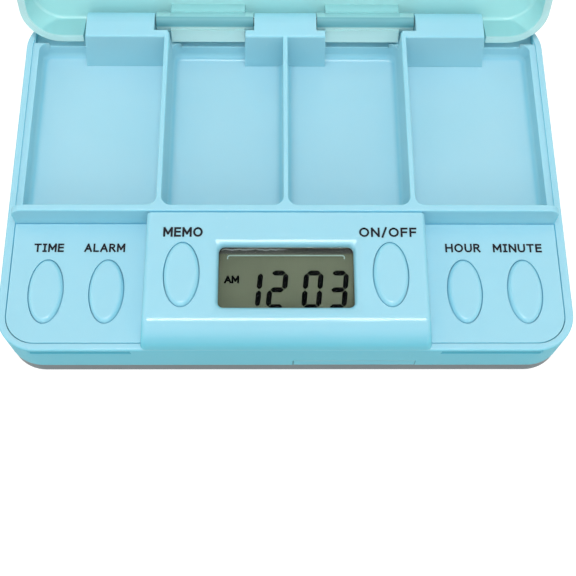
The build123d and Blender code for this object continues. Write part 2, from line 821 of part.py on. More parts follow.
def make_button(x, y, level):
    """Oval cap with a crowned top, a flange that keeps it in, and a stem."""
    flange_top = level - COVER_WALL - FLANGE_GAP
    cap = slab(Pos(x, y) * Ellipse(CAP_WIDTH / 2, CAP_LENGTH / 2), flange_top, level + CAP_PROUD)
    cap = fillet(cap.edges().group_by(Axis.Z)[-1], CAP_CROWN)
    flange = Pos(x, y) * Ellipse(CAP_WIDTH / 2 + FLANGE_REACH, CAP_LENGTH / 2 + FLANGE_REACH)
    cap += slab(flange, flange_top - FLANGE_THICKNESS, flange_top)
    return cap + rod(x, y, STEM_RADIUS, plunger_top, flange_top)


def make_plunger(x, y):
    """The moving pin of one snap switch, under its button."""
    return rod(x, y, PLUNGER_RADIUS, switch_top - PLUNGER_GRIP, plunger_top)


def make_switch_bodies():
    """Square switch housings on the board, one under each button."""
    bodies = []
    for x, y, _ in buttons.values():
        housing = slab(Pos(x, y) * Rectangle(SWITCH_SIDE, SWITCH_SIDE), board_top, switch_top)
        hole = rod(x, y, PLUNGER_RADIUS + PLUNGER_GAP, board_top - OVERRUN, deck_top)
        bodies.append(housing - hole)
    return bodies


def make_circuit_board():
    """Board under the timer cover, cleared for the two tall bosses."""
    inset = BAY_WALL + BOARD_GAP
    outline = front_outline(
        half_width - inset,
        case_front + inset,
        bar_front - BOARD_REAR_GAP,
        COVER_CORNER - (inset - COVER_FRONT_INSET),
    )
    board = slab(outline, board_under, board_top)
    low = board_under - OVERRUN
    high = board_top + OVERRUN
    for side in sides:
        hole = BOSS_RADIUS + BOARD_HOLE_GAP
        board -= rod(side * front_screw_x, front_screw_y, hole, low, high)
    for x, y in board_screw_places:
        board -= rod(x, y, SCREW_RADIUS + SCREW_HOLE_GAP, low, high)
    return board


def make_timer_chip():
    """Round resin blob over the timer chip, under the board."""
    y = case_front + BLOB_SETBACK
    blob = rod(blob_x, y, BLOB_RADIUS, board_under - BLOB_HEIGHT, board_under)
    return fillet(blob.edges().group_by(Axis.Z)[0], BLOB_ROUND)


def make_crystal():
    """Small round quartz can lying under the board."""
    return cross_rod(
        case_front + CRYSTAL_SETBACK,
        board_under - CRYSTAL_RADIUS,
        CRYSTAL_RADIUS,
        crystal_x - CRYSTAL_LENGTH / 2,
        crystal_x + CRYSTAL_LENGTH / 2,
    )


def make_chips():
    """A row of small capacitors under the board."""
    y = case_front + CHIP_SETBACK
    return [
        brick(
            (chip_x + i * CHIP_PITCH, chip_x + i * CHIP_PITCH + CHIP_LENGTH),
            (y, y + CHIP_WIDTH),
            (board_under - CHIP_HEIGHT, board_under),
        )
        for i in range(CHIP_COUNT)
    ]


def make_spring_contact(x, y, tip):
    """A bent metal strip from the board's underside down to a tip."""
    thick = CONTACT_THICKNESS
    foot = [
        (y, board_under),
        (y + CONTACT_FOOT, board_under),
        (y + CONTACT_FOOT, board_under - thick),
        (y + thick, board_under - thick),
        (y + thick, tip + thick),
        (y + CONTACT_FOOT, tip + thick),
        (y + CONTACT_FOOT, tip),
        (y, tip),
    ]
    return side_profile(foot, x - CONTACT_WIDTH / 2, x + CONTACT_WIDTH / 2)


def make_battery_drawer():
    """Blue drawer whose front lies in the case's front wall, with a round well."""
    half = DRAWER_WIDTH / 2
    drawer = brick(
        (DRAWER_CENTRE_X - half, DRAWER_CENTRE_X + half),
        (case_front, drawer_back),
        (drawer_under, drawer_top),
    )
    drawer -= rod(DRAWER_CENTRE_X, cell_y, well_radius, cell_under, drawer_top + OVERRUN)
    return drawer - rod(
        DRAWER_CENTRE_X, cell_y, CELL_RADIUS - DRAWER_LIP, drawer_under - OVERRUN, drawer_top
    )


def make_coin_cell():
    """Coin cell lying in the drawer's well."""
    cell = rod(DRAWER_CENTRE_X, cell_y, CELL_RADIUS, cell_under, cell_top)
    return fillet(cell.edges(), CELL_ROUND)


def make_screw(x, y, seat, length):
    """Screw pointing up, with its slotted head below the seat."""
    screw = rod(x, y, SCREW_HEAD_RADIUS, seat - SCREW_HEAD_HEIGHT, seat)
    screw += rod(x, y, SCREW_RADIUS, seat, seat + length)
    slot = (-SCREW_SLOT / 2, SCREW_SLOT / 2)
    arm = (-SCREW_HEAD_RADIUS / 2, SCREW_HEAD_RADIUS / 2)
    depth = (seat - SCREW_HEAD_HEIGHT - OVERRUN, seat - SCREW_HEAD_HEIGHT + SCREW_SOCKET)
    for across, along in ((slot, arm), (arm, slot)):
        screw -= Pos(x, y, 0) * brick(across, along, depth)
    return screw


def make_lid():
    """Translucent lid as it lies when shut, notched round the raised panel."""
    shell = slab(case_outline(0), lid_bottom, lid_top)
    shell = fillet(shell.edges().group_by(Axis.Z)[-1], LID_ROUND)
    inside = slab(case_outline(LID_WALL), lid_bottom - OVERRUN, plate_under)
    inside = fillet(inside.edges().group_by(Axis.Z)[-1], LID_INNER_ROUND)
    shell -= inside

    # Notch round the raised panel, with a wall along its two sides
    notch_side = panel_half_foot + NOTCH_SIDE_GAP
    notch_back = bar_front + NOTCH_REAR_GAP
    wall_back = bar_front - PANEL_REAR_SEAM - NOTCH_LIP_GAP
    for side in sides:
        shell += brick(
            (side * notch_side, side * (notch_side + LID_WALL)),
            (case_front + LID_WALL / 2, wall_back),
            (lid_bottom, plate_under + LID_PLATE / 2),
        )
    lip_under = deck_top + NOTCH_LIP_GAP
    shell += brick(
        (-notch_side - LID_WALL, notch_side + LID_WALL),
        (wall_back, notch_back + LID_WALL),
        (lip_under, plate_under + LID_PLATE / 2),
    )
    notch = brick(
        (-notch_side, notch_side),
        (case_front - OVERRUN, notch_back),
        (lid_bottom - OVERRUN, lid_top + OVERRUN),
    )
    shell -= fillet(notch.edges().filter_by(Axis.Z).group_by(Axis.Y)[-1], NOTCH_CORNER)

    # Back skirt cut away at the hinge blocks and knuckles
    skirt_front = case_back - SKIRT_THICK
    spans = [(-SKIRT_START, SKIRT_START)]
    spans += [(side * SKIRT_END, side * outer_skirt_start) for side in sides]
    behind = case_back + OVERRUN
    for span in spans:
        shell -= brick(span, (skirt_front, behind), (lid_bottom - OVERRUN, plate_under))
        shell -= brick(span, (case_back - PLATE_REAR_CUT, behind), (plate_under, lid_top + OVERRUN))

    # Knuckles: a barrel on a web, thickened down into the skirt
    for side in sides:
        span = (side * SKIRT_START, side * SKIRT_END)
        web_top = plate_under + LID_PLATE / 2
        shell += brick(span, (skirt_front, case_back - LID_WALL / 2), (lid_bottom, plate_under))
        shell += brick(span, (hinge_y - WEB_REACH, skirt_front), (hinge_z, web_top))
        left, right = sorted((side * KNUCKLE_START, side * KNUCKLE_END))
        shell += cross_rod(hinge_y, hinge_z, KNUCKLE_RADIUS, left, right)
        bore = PIN_RADIUS + PIN_RUNNING_GAP
        shell -= cross_rod(hinge_y, hinge_z, bore, left - OVERRUN, right + OVERRUN)

    # Latch tabs that hang over the front wall beside the notch
    for side in sides:
        across = (side * (latch_start + LATCH_END_GAP), side * (latch_end - LATCH_END_GAP))
        tab_face = case_front - LATCH_GAP
        tab = brick(
            across,
            (tab_face - LATCH_TAB_THICKNESS, tab_face),
            (lid_bottom - LATCH_TAB_DROP, lid_bottom + LATCH_TAB_RISE),
        )
        front_edges = tab.edges().group_by(Axis.Y)[0]
        tab = fillet(front_edges, LATCH_ROUND)
        root = brick(
            across,
            (tab_face - LATCH_TAB_THICKNESS / 2, case_front + LID_WALL / 2),
            (lid_bottom, lid_bottom + LATCH_TAB_RISE - LATCH_ROUND),
        )
        shell += tab
        shell += root
    return shell


def make_hinge_pin(side):
    """Steel pin through one knuckle, held in the blocks on both sides."""
    near = KNUCKLE_START - KNUCKLE_SIDE_GAP - PIN_SEAT
    far = KNUCKLE_END + KNUCKLE_SIDE_GAP + PIN_SEAT
    left, right = sorted((side * near, side * far))
    return cross_rod(hinge_y, hinge_z, PIN_RADIUS, left, right)


def save(name, *solids):
    """Writes one node as a STEP file."""
    shape = solids[0] if len(solids) == 1 else Compound(children=list(solids))
    export_step(shape, f"parts/{name}.step")


os.makedirs("parts", exist_ok=True)

save("tray", make_tray())
save("base_plate", make_base_plate())
save("timer_cover", make_timer_cover())
save("window_lens", make_window_lens())
save("display_glass", slab(glass_outline(0), glass_under, glass_top))
save("display_reflector", slab(glass_outline(0), reflector_under, glass_under))
save("display_digits", *make_display_digits())
save("display_holder", make_display_holder())
save("contact_strips", *make_contact_strips())
save("circuit_board", make_circuit_board())
save("switch_bodies", *make_switch_bodies())
save("timer_chip", make_timer_chip())
save("quartz_crystal", make_crystal())
save("capacitors", *make_chips())

for name, (x, y, level) in buttons.items():
    save(name + "_button", make_button(x, y, level))
    save(name + "_plunger", make_plunger(x, y))

save("battery_drawer", make_battery_drawer())
save("coin_cell", make_coin_cell())
contact_y = cell_y - CONTACT_FOOT / 2
for name, side in (("battery_contact_left", -1), ("battery_contact_right", 1)):
    contact_x = DRAWER_CENTRE_X + side * CONTACT_SPACING / 2
    save(name, make_spring_contact(contact_x, contact_y, contact_tip))

save("buzzer_disc", rod(BUZZER_X, buzzer_y, BUZZER_RADIUS, buzzer_under, buzzer_top))
contact_y = buzzer_y - CONTACT_FOOT / 2
buzzer_contact_x = [BUZZER_X + side * BUZZER_CONTACT_SPACING / 2 for side in sides]
save("buzzer_contacts", *[make_spring_contact(x, contact_y, buzzer_top) for x in buzzer_contact_x])

case_run = BASE_THICKNESS + CASE_SCREW_LENGTH - screw_seat
board_run = BOARD_THICKNESS + BOARD_SCREW_LENGTH - SCREW_HOLE_GAP
save("case_screws", *[make_screw(x, y, screw_seat, case_run) for x, y in case_screw_places])
save("board_screws", *[make_screw(x, y, board_under, board_run) for x, y in board_screw_places])

save("hinge_pin_left", make_hinge_pin(-1))
save("hinge_pin_right", make_hinge_pin(1))
save("lid", swing(make_lid(), -LID_OPEN_DEGREES))
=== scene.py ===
import math
import bmesh
import bpy
from mathutils import Matrix, Vector


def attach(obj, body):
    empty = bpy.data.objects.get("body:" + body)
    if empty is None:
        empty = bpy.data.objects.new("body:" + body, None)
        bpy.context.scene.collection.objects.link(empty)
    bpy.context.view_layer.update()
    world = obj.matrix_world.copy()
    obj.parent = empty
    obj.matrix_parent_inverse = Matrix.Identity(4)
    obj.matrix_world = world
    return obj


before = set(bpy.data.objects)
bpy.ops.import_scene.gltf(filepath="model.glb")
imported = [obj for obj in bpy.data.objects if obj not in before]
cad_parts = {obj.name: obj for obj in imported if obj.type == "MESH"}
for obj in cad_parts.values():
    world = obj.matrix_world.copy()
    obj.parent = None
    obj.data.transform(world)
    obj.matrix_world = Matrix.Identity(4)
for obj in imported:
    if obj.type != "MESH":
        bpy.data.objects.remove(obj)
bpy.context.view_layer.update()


# The photographer's view: a camera held steeply above the front edge, looking down on the open box,
# so close that the lid runs out of the top of the picture. Placed by matching the case's own edges.
MM = 0.001
CAMERA_PLACE = (-1.595 * MM, -79.953 * MM, 155.933 * MM)
CAMERA_TILT, CAMERA_TURN, CAMERA_ROLL = 22.132, -1.845, 1.726
FOCAL_LENGTH, SENSOR_WIDTH = 62.5, 36
NEAREST, FARTHEST = 0.01, 20
lens = bpy.data.cameras.new("photo_camera")
lens.lens, lens.sensor_width = FOCAL_LENGTH, SENSOR_WIDTH
lens.clip_start, lens.clip_end = NEAREST, FARTHEST
camera = bpy.data.objects.new("photo_camera", lens)
bpy.context.scene.collection.objects.link(camera)
camera.matrix_world = (
    Matrix.Translation(CAMERA_PLACE)
    @ Matrix.Rotation(math.radians(CAMERA_TURN), 4, "Z")
    @ Matrix.Rotation(math.radians(CAMERA_TILT), 4, "X")
    @ Matrix.Rotation(math.radians(CAMERA_ROLL), 4, "Z")
)
bpy.context.scene.camera = camera
bpy.context.scene.view_settings.view_transform = "Standard"


# The light tent: a long softbox hangs nearly overhead, a weak one stands at each side and a broad one
# in front. The pale walls give a soft fill, and show as white to the camera, in reflections and
# through clear plastic.
TENT_GLOW, TENT_TINT = 0.62, (0.97, 0.99, 1.0, 1)
WHITE = (1, 1, 1, 1)


def fit(tree, kind, feeds=None, **settings):
    """Adds one shader node, sets it up and feeds its sockets from values or other nodes."""
    made = tree.nodes.new(kind)
    for setting, value in settings.items():
        setattr(made, setting, value)
    for socket, value in (feeds or {}).items():
        if isinstance(value, bpy.types.NodeSocket):
            tree.links.new(value, made.inputs[socket])
        else:
            made.inputs[socket].default_value = value
    return made


def calc(tree, operation, *values, clamp=False):
    """One step of arithmetic on sockets or plain numbers."""
    feeds = dict(enumerate(values))
    return fit(tree, "ShaderNodeMath", feeds, operation=operation, use_clamp=clamp).outputs[0]


def seen_directly(tree):
    """1 for rays from the camera, from a reflection or through clear plastic, otherwise 0."""
    path = fit(tree, "ShaderNodeLightPath").outputs
    unbent = calc(tree, "MAXIMUM", path["Is Camera Ray"], path["Is Glossy Ray"])
    return calc(tree, "MAXIMUM", unbent, path["Is Transmission Ray"])


for name, place, aim, size, watts in (
    ("top_softbox", (-0.01, -0.05, 0.7), (-0.01, -0.05, 0.0), (0.3, 0.12), 2.45),
    ("left_softbox", (-0.7, 0.1, 0.4), (0.0, 0.0, 0.0), (0.4, 0.4), 0.35),
    ("right_softbox", (0.7, 0.1, 0.4), (0.0, 0.0, 0.0), (0.4, 0.4), 0.25),
    ("front_panel", (0.0, -0.6, 0.4), (0.0, 0.0, 0.0), (0.9, 0.5), 1.5),
):
    lamp = bpy.data.lights.new(name, "AREA")
    lamp.shape = "RECTANGLE"
    lamp.size, lamp.size_y = size
    lamp.energy = watts
    item = bpy.data.objects.new(name, lamp)
    bpy.context.scene.collection.objects.link(item)
    item.location = place
    item.rotation_euler = (Vector(aim) - Vector(place)).to_track_quat("-Z", "Y").to_euler()

world = bpy.data.worlds.new("light_tent")
bpy.context.scene.world = world
world.use_nodes = True
tree = world.node_tree
tree.nodes.clear()
glow = fit(tree, "ShaderNodeBackground", {"Color": TENT_TINT, "Strength": TENT_GLOW})
white = fit(tree, "ShaderNodeBackground", {"Color": WHITE, "Strength": 1.0})
both = fit(tree, "ShaderNodeMixShader", {0: seen_directly(tree), 1: glow.outputs[0], 2: white.outputs[0]})
fit(tree, "ShaderNodeOutputWorld", {"Surface": both.outputs[0]})


# The photo table: one plain white sheet of card under the box, which keeps the box's soft shadow.
# What the camera sees of it is lifted to white, and its own shade is a mid grey.
SHEET_HALF = 3
CARD_GREY, CARD_ROUGHNESS, CARD_LIFT = (0.42, 0.42, 0.42, 1), 0.8, 0.72
sheet_corners = [(x * SHEET_HALF, y * SHEET_HALF, 0) for x, y in ((-1, -1), (1, -1), (1, 1), (-1, 1))]
mesh = bpy.data.meshes.new("table_sheet")
mesh.from_pydata(sheet_corners, [], [(0, 1, 2, 3)])
table = bpy.data.objects.new("table_sheet", mesh)
bpy.context.scene.collection.objects.link(table)
card = bpy.data.materials.new("white_card")
card.use_nodes = True
tree = card.node_tree
shader = tree.nodes["Principled BSDF"]
shader.inputs["Base Color"].default_value = CARD_GREY
shader.inputs["Roughness"].default_value = CARD_ROUGHNESS
shader.inputs["Specular IOR Level"].default_value = 0.0
shader.inputs["Emission Color"].default_value = WHITE
tree.links.new(calc(tree, "MULTIPLY", seen_directly(tree), CARD_LIFT), shader.inputs["Emission Strength"])
mesh.materials.append(card)


# The tray is the body of the box: four open compartments, the hinge blocks and the bay for the timer.
# It is injection moulded in one piece from a pale sky-blue plastic, in a polished tool, so it is
# glossy, with faint flow clouds in the colour, hairline scuffs from handling and lint. Faces that look up,
# the compartment floors most, are painted paler and a little duller, as painted light.
def start_group(name, gives, **takes):
    """A shader group with its named inputs and outputs."""
    group = bpy.data.node_groups.new(name, "ShaderNodeTree")
    for socket, start in takes.items():
        kind = "NodeSocketColor" if isinstance(start, tuple) else "NodeSocketFloat"
        group.interface.new_socket(socket, in_out="INPUT", socket_type=kind).default_value = start
    for socket in gives:
        kind = "NodeSocketColor" if socket in ("Color", "Glow") else "NodeSocketFloat"
        group.interface.new_socket(socket, in_out="OUTPUT", socket_type=kind)
    return group, fit(group, "NodeGroupInput").outputs


def place_on(tree):
    """Where a point of the piece lies while the box is at rest, in metres."""
    return fit(tree, "ShaderNodeTexCoord").outputs["Object"]


def parts_of(tree, vector):
    return fit(tree, "ShaderNodeSeparateXYZ", {0: vector}).outputs


def product(tree, first, *others):
    for other in others:
        first = calc(tree, "MULTIPLY", first, other)
    return first


def less_of(tree, value):
    """What is left of 1."""
    return calc(tree, "SUBTRACT", 1.0, value)


def noise_at(tree, spot, scale, detail):
    return fit(tree, "ShaderNodeTexNoise", {"Vector": spot, "Scale": scale, "Detail": detail}).outputs["Fac"]


def ramp(tree, value, low, high, start=0.0, end=1.0):
    feeds = {"Value": value, "From Min": low, "From Max": high, "To Min": start, "To Max": end}
    return fit(tree, "ShaderNodeMapRange", feeds).outputs["Result"]


def within(tree, value, low, high):
    """1 where a value lies between two others, otherwise 0."""
    middle, reach = (low + high) / 2, (high - low) / 2
    return calc(tree, "COMPARE", value, middle, reach)


def mixed(tree, share, one, two, how="MIX"):
    feeds = {0: share, 6: one, 7: two}
    return fit(tree, "ShaderNodeMix", feeds, data_type="RGBA", blend_type=how).outputs[2]


def toned(tree, colour, strength):
    return fit(tree, "ShaderNodeVectorMath", {0: colour, "Scale": strength}, operation="SCALE").outputs[0]


moulded, given = start_group(
    "moulded_finish",
    ("Color", "Roughness", "Height"),
    Color=(0.8, 0.8, 0.8, 1.0),
    Roughness=0.3,
    Clouds=0.03,
    Scuffs=0.2,
    Lint=0.3,
    Grain=0.2,
    Dust=0.0,
)
CLOUD_SCALE, PATCH_SCALE, SPECK_SCALE, GRAIN_SCALE = 60.0, 35.0, 330.0, 2600.0
HAIRLINE_TURN, HAIRLINE_SCALE = (0.3, 0.2, 0.7), (30.0, 800.0, 300.0)
HAIRLINE_CUT, PATCH_CUT, SPECK_CUT, RARE_CUT = (0.66, 0.74), (0.48, 0.62), (0.1, 0.04), (0.88, 0.9)
CLOUD_CONTRAST, CLOUD_RELIEF, SCUFF_DULLING, LINT_DULLING = 4.0, 0.4, 0.5, 0.3
LINT_GREY = (0.8, 0.82, 0.83, 1)
FLOOR_LEVEL, DUSTY_BELOW, FLOOR_DUST, LEVEL_CUT = 7.0 * MM, 8.5 * MM, 1.7, (0.8, 1.0)
RELIEF_DEPTH = 0.1 * MM
spot = place_on(moulded)
facing = fit(moulded, "ShaderNodeTexCoord").outputs["Normal"]
clouds = noise_at(moulded, spot, CLOUD_SCALE, 3.0)
cloud_tone = product(moulded, calc(moulded, "SUBTRACT", clouds, 0.5), given["Clouds"])
cloud_tone = calc(moulded, "MULTIPLY_ADD", cloud_tone, CLOUD_CONTRAST, 1.0)
stretched = fit(
    moulded, "ShaderNodeMapping", {"Vector": spot, "Rotation": HAIRLINE_TURN, "Scale": HAIRLINE_SCALE}
)
hairlines = ramp(moulded, noise_at(moulded, stretched.outputs[0], 1.0, 2.0), *HAIRLINE_CUT)
patches = ramp(moulded, noise_at(moulded, spot, PATCH_SCALE, 1.0), *PATCH_CUT)
scuffs = product(moulded, hairlines, patches, given["Scuffs"])
specks = fit(moulded, "ShaderNodeTexVoronoi", {"Vector": spot, "Scale": SPECK_SCALE}).outputs
rare = fit(moulded, "ShaderNodeSeparateColor", {"Color": specks["Color"]}).outputs[0]
near_speck = ramp(moulded, specks["Distance"], *SPECK_CUT)
lint = product(moulded, near_speck, given["Lint"], ramp(moulded, rare, *RARE_CUT))
upward = parts_of(moulded, facing)[2]
depth = parts_of(moulded, spot)[2]
# Painted light: faces that look up, most of all deep in the compartments, are painted towards pale grey and
# made a little duller.
settled = product(
    moulded,
    ramp(moulded, upward, *LEVEL_CUT),
    given["Dust"],
    ramp(moulded, depth, FLOOR_LEVEL, DUSTY_BELOW, FLOOR_DUST, 1.0),
)
lint = calc(moulded, "ADD", lint, settled, clamp=True)
rough = calc(moulded, "ADD", given["Roughness"], product(moulded, scuffs, SCUFF_DULLING))
rough = calc(moulded, "ADD", rough, product(moulded, lint, LINT_DULLING), clamp=True)
grain = product(moulded, noise_at(moulded, spot, GRAIN_SCALE, 2.0), given["Grain"])
height = calc(moulded, "SUBTRACT", product(moulded, clouds, CLOUD_RELIEF), scuffs)
height = calc(moulded, "ADD", height, grain)
dusty = mixed(moulded, lint, toned(moulded, given["Color"], cloud_tone), LINT_GREY)
fit(moulded, "NodeGroupOutput", {"Color": dusty, "Roughness": rough, "Height": height})


def finish_with(name, group, bump, own=None, **values):
    """A material whose colour, roughness and relief come from a finish group."""
    made = bpy.data.materials.new(name)
    made.use_nodes = True
    tree = made.node_tree
    skin = fit(tree, "ShaderNodeGroup", node_tree=group)
    for socket, value in values.items():
        skin.inputs[socket].default_value = value
    shader = tree.nodes["Principled BSDF"]
    relief = fit(
        tree, "ShaderNodeBump", {"Height": skin.outputs["Height"], "Strength": bump, "Distance": RELIEF_DEPTH}
    )
    tree.links.new(skin.outputs["Color"], shader.inputs["Base Color"])
    tree.links.new(skin.outputs["Roughness"], shader.inputs["Roughness"])
    tree.links.new(relief.outputs[0], shader.inputs["Normal"])
    for socket, value in (own or {}).items():
        shader.inputs[socket].default_value = value
    return made, tree, shader, skin


def dress(material, *names):
    for name in names:
        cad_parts[name].material_slots[0].material = material


# Upright walls are painted deeper in colour outside and paler inside, as painted shade and painted light.
# The narrow gaps round the timer are painted to glow, as painted light, and a painted shade line
# darkens the foot of the latch grooves.
walls, given = start_group(
    "outer_walls",
    ("Color", "Glow"),
    Color=(0.8, 0.8, 0.8, 1.0),
    Deep=(0.6, 0.97, 1.0, 1.0),
    Thin=(1.28, 1.09, 1.04, 1.0),
    Grime=(0.45, 0.74, 0.8, 1.0),
    Led=(0.07, 0.2, 0.26, 1.0),
)
FRONT_FROM, FRONT_FULL = -26.5 * MM, -28.0 * MM
BACK_FROM, BACK_FULL = 29.4 * MM, 30.0 * MM
SIDE_FROM, SIDE_FULL = 43.2 * MM, 43.8 * MM
WELLS_FROM, WELLS_FULL = -9.0 * MM, -8.0 * MM
GROOVE_ENDS, GROOVE_FOOT, GROOVE_WALL = (24.0 * MM, 39.6 * MM), (8.3 * MM, 8.9 * MM), -29.5 * MM
SEAM_LEVELS, SEAM_FRONT, SEAM_BACK = (8.0 * MM, 10.05 * MM), -30.1 * MM, -9.0 * MM
SEAM_SIDE, SEAM_CORNER = 44.05 * MM, 69.6 * MM
PANEL_LEVELS, PANEL_FRONT, PANEL_SIDE = (12.5 * MM, 14.55 * MM), -27.0 * MM, 21.5 * MM
WINDOW_SIDE, WINDOW_BACK = 12.0 * MM, -14.5 * MM
REAR_GAP_FROM, REAR_GAP_FULL, BUTTON_GLOW, REAR_GLOW = -13.0 * MM, -11.5 * MM, 0.3, 0.55
UPRIGHT_CUT, STEEP_CUT = (0.8, 0.35), (0.5, 0.3)
BLACK = (0, 0, 0, 1)
across, along, depth = parts_of(walls, place_on(walls))
across = calc(walls, "ABSOLUTE", across)
facing = fit(walls, "ShaderNodeTexCoord").outputs["Normal"]
level = calc(walls, "ABSOLUTE", parts_of(walls, facing)[2])
upright = ramp(walls, level, *UPRIGHT_CUT)
front = ramp(walls, along, FRONT_FROM, FRONT_FULL)
back = ramp(walls, along, BACK_FROM, BACK_FULL)
side = ramp(walls, across, SIDE_FROM, SIDE_FULL)
outside = calc(walls, "MAXIMUM", calc(walls, "MAXIMUM", front, back), side)
inside = product(walls, less_of(walls, outside), ramp(walls, along, WELLS_FROM, WELLS_FULL), upright)
# Painted light and shade: upright walls inside the wells are painted paler, outside walls painted deeper.
paler = mixed(walls, inside, given["Color"], given["Thin"], "MULTIPLY")
deeper = mixed(walls, product(walls, outside, upright), paler, given["Deep"], "MULTIPLY")
# Painted shade: a darker line is painted along the foot of the latch grooves.
grimy = product(
    walls,
    within(walls, depth, *GROOVE_FOOT),
    within(walls, across, *GROOVE_ENDS),
    calc(walls, "LESS_THAN", along, GROOVE_WALL),
)
soiled = mixed(walls, grimy, deeper, given["Grime"], "MULTIPLY")
low_gap = product(
    walls,
    within(walls, depth, *SEAM_LEVELS),
    within(walls, along, SEAM_FRONT, SEAM_BACK),
    calc(walls, "LESS_THAN", across, SEAM_SIDE),
    calc(walls, "LESS_THAN", calc(walls, "SUBTRACT", across, along), SEAM_CORNER),
)
by_window = product(
    walls, calc(walls, "LESS_THAN", across, WINDOW_SIDE), calc(walls, "LESS_THAN", along, WINDOW_BACK)
)
high_gap = product(
    walls,
    within(walls, depth, *PANEL_LEVELS),
    calc(walls, "LESS_THAN", across, PANEL_SIDE),
    less_of(walls, by_window),
    within(walls, along, PANEL_FRONT, SEAM_BACK),
)
gap = product(
    walls,
    calc(walls, "MAXIMUM", low_gap, high_gap),
    ramp(walls, level, *STEEP_CUT),
    ramp(walls, along, REAR_GAP_FROM, REAR_GAP_FULL, BUTTON_GLOW, REAR_GLOW),
)
# Painted light: the steep walls of the gaps round the timer get a glow colour that feeds Emission.
led = mixed(walls, gap, BLACK, given["Led"])
fit(walls, "NodeGroupOutput", {"Color": soiled, "Glow": led})

# Painted light: this plastic glows in the gaps round the timer, and its faces are painted paler or deeper by
# which way they face.
SKY_BLUE = (0.265, 0.58, 0.695, 1.0)
sky_blue, tree, shader, skin = finish_with(
    "sky_blue_plastic",
    moulded,
    bump=0.12,
    own={
        "Specular IOR Level": 0.0,
        "Coat Weight": 0.15,
        "Coat IOR": 2.2,
        "Coat Roughness": 0.12,
        "Subsurface Weight": 0.7,
        "Subsurface Radius": (1.0, 1.0, 1.0),
        "Subsurface Scale": 0.7 * MM,
        "Emission Strength": 1.0,
    },
    Color=SKY_BLUE,
    Roughness=0.13,
    Clouds=0.02,
    Scuffs=0.3,
    Lint=0.05,
    Dust=0.11,
)
tree.links.new(shader.inputs["Normal"].links[0].from_socket, shader.inputs["Coat Normal"])
outer = fit(tree, "ShaderNodeGroup", node_tree=walls)
tree.links.new(skin.outputs["Color"], outer.inputs["Color"])
tree.links.new(outer.outputs["Color"], shader.inputs["Base Color"])
tree.links.new(outer.outputs["Glow"], shader.inputs["Emission Color"])
dress(sky_blue, "tray")


# The base plate closes the underside: a flat mid-grey moulding screwed up into the tray and the cover.
# It comes from a spark-eroded tool, so it is matt with an even fine grain.
BASE_GREY = (0.19, 0.225, 0.235, 1.0)
base_grey, *_ = finish_with(
    "matt_grey_plastic",
    moulded,
    bump=0.5,
    own={"Specular IOR Level": 0.2},
    Color=BASE_GREY,
    Roughness=0.55,
    Clouds=0.04,
    Scuffs=0.4,
    Grain=1.0,
)
dress(base_grey, "base_plate")


# The circuit board is glass fibre with a green solder mask. Its copper tracks show as lighter, slightly
# raised lines under the mask, and it hangs from four bosses of the timer cover.
def spread(tree, noise, start, end):
    """Stretches the usual range of a noise to two values."""
    return ramp(tree, noise, 0.3, 0.7, start, end)


board_mask, given = start_group(
    "solder_mask", ("Color", "Roughness", "Height"), Color=(0.02, 0.2, 0.08, 1.0), Track=0.6
)
TRACK_GREEN = (0.09, 0.36, 0.16, 1)
FIBRE_SCALE, FIBRE_RELIEF = 900.0, 0.2
TRACK_PATTERN = {
    "Color1": BLACK,
    "Color2": (0.3, 0.3, 0.3, 1),
    "Mortar": WHITE,
    "Scale": 55.0,
    "Mortar Size": 0.012,
    "Brick Width": 0.35,
    "Row Height": 0.06,
}
spot = place_on(board_mask)
tracks = fit(board_mask, "ShaderNodeTexBrick", {"Vector": spot, **TRACK_PATTERN})
copper = product(board_mask, tracks.outputs["Color"], given["Track"])
fibres = noise_at(board_mask, spot, FIBRE_SCALE, 2.0)
fit(
    board_mask,
    "NodeGroupOutput",
    {
        "Color": mixed(board_mask, copper, given["Color"], TRACK_GREEN),
        "Roughness": spread(board_mask, fibres, 0.25, 0.4),
        "Height": calc(board_mask, "ADD", copper, product(board_mask, fibres, FIBRE_RELIEF)),
    },
)
board_green, *_ = finish_with("board_green", board_mask, bump=0.6, Track=0.7)
dress(board_green, "circuit_board")


# Under the board sit a blob of black resin over the timer chip and, on top, six square snap switches
# in black moulded housings, one under each button. The resin set glossy and slightly wavy.
RESIN_BLACK, HOUSING_BLACK = (0.012, 0.012, 0.014, 1.0), (0.022, 0.022, 0.024, 1.0)
resin, *_ = finish_with(
    "black_resin", moulded, bump=0.8, Color=RESIN_BLACK, Roughness=0.16, Clouds=0.2, Scuffs=0.1
)
dress(resin, "timer_chip")
housing, *_ = finish_with(
    "black_housing", moulded, bump=0.4, Color=HOUSING_BLACK, Roughness=0.5, Scuffs=0.3, Grain=0.8
)
dress(housing, "switch_bodies")


# The three capacitors are blocks of fired tan ceramic with tinned ends, soldered side by side.
# Their ends are told from their place along the row.
ROW_START, CHIP_PITCH, CERAMIC_FROM, CERAMIC_TO = 0.025, 4.0 * MM, 0.38 * MM, 1.62 * MM
FIRED_TAN, TIN = (0.45, 0.33, 0.2, 1.0), (0.72, 0.71, 0.69, 1)
CERAMIC_ROUGHNESS, TIN_ROUGHNESS, SPECKLE_SCALE = 0.6, 0.3, 3000.0
ceramic, given = start_group(
    "tinned_ends", ("Color", "Roughness", "Height", "Metal"), Color=FIRED_TAN, Start=ROW_START
)
spot = place_on(ceramic)
along = calc(ceramic, "SUBTRACT", parts_of(ceramic, spot)[0], given["Start"])
along = calc(ceramic, "WRAP", along, CHIP_PITCH, 0.0)
tin = less_of(ceramic, within(ceramic, along, CERAMIC_FROM, CERAMIC_TO))
specks = noise_at(ceramic, spot, SPECKLE_SCALE, 3.0)
body = toned(ceramic, given["Color"], spread(ceramic, specks, 0.85, 1.1))
